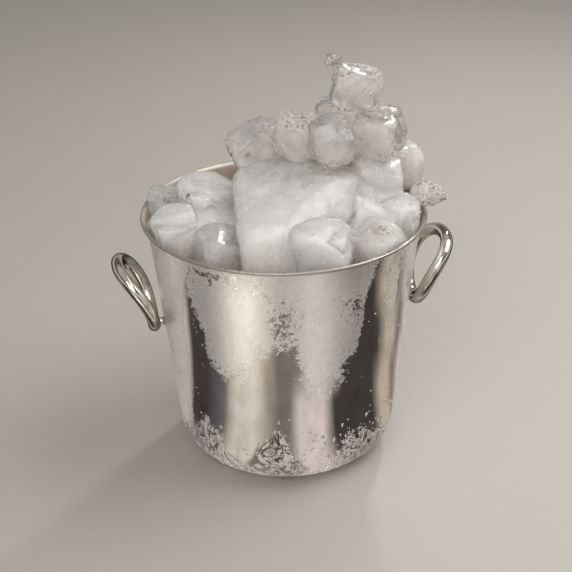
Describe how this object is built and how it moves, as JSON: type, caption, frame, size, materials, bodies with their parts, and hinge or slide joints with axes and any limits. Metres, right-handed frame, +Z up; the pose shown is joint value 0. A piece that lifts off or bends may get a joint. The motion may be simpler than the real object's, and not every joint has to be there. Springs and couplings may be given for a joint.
{
  "type": "ice bucket",
  "caption": "Round silver-plated ice bucket with leaning wall, flared rim and two outward-curling oval loop handles, heaped with lumps of ice that lift out.",
  "frame": {"origin": "centre of the base on the surface that the bucket stands on", "axes": "+Z up along the bucket's axis, +X towards the right handle, +Y to the back"},
  "size_m": [0.2448, 0.2, 0.2898],
  "materials": {
    "silver_plate": "polished silver plate with condensation and frost",
    "handle_silver": "polished",
    "milky_ice": "wet, milky",
    "clear_ice": "wet, clear"
  },
  "bodies": {
    "bucket": {"bucket": "silver_plate", "handle_left": "handle_silver", "handle_right": "handle_silver", "stud_left": "handle_silver", "stud_right": "handle_silver"},
    "ice": {"ice_peak": "milky_ice", "ice_peak_chip": "clear_ice", "ice_neck": "milky_ice", "ice_barrel": "milky_ice", "ice_right_cap": "clear_ice", "ice_wedge": "milky_ice", "ice_upper_left": "milky_ice", "ice_left_peak": "milky_ice", "ice_core": "milky_ice", "ice_centre_left": "milky_ice", "ice_centre_right": "milky_ice", "ice_right": "milky_ice", "ice_right_back": "milky_ice", "ice_overhang": "clear_ice", "ice_right_rim": "milky_ice", "ice_right_mid": "milky_ice", "ice_front_right": "clear_ice", "ice_front_centre": "milky_ice", "ice_front_left": "milky_ice", "ice_front_clear": "clear_ice", "ice_left": "milky_ice", "ice_left_inner": "milky_ice", "ice_left_mid": "milky_ice", "ice_left_clear": "clear_ice", "ice_back_left": "milky_ice", "ice_back_centre": "milky_ice", "ice_back_right": "milky_ice", "ice_mid_back": "milky_ice", "ice_inner_left": "milky_ice", "ice_inner_right": "milky_ice", "ice_inner_back": "milky_ice", "ice_inner_centre": "milky_ice", "ice_layer_1": "milky_ice", "ice_layer_2": "milky_ice", "ice_layer_3": "milky_ice", "ice_layer_4": "milky_ice"}
  },
  "joints": [
    {"name": "ice_lift_out", "type": "slide", "parent": "bucket", "child": "ice", "axis": [0, 0, 1], "range_m": [0, 0.2]}
  ]
}
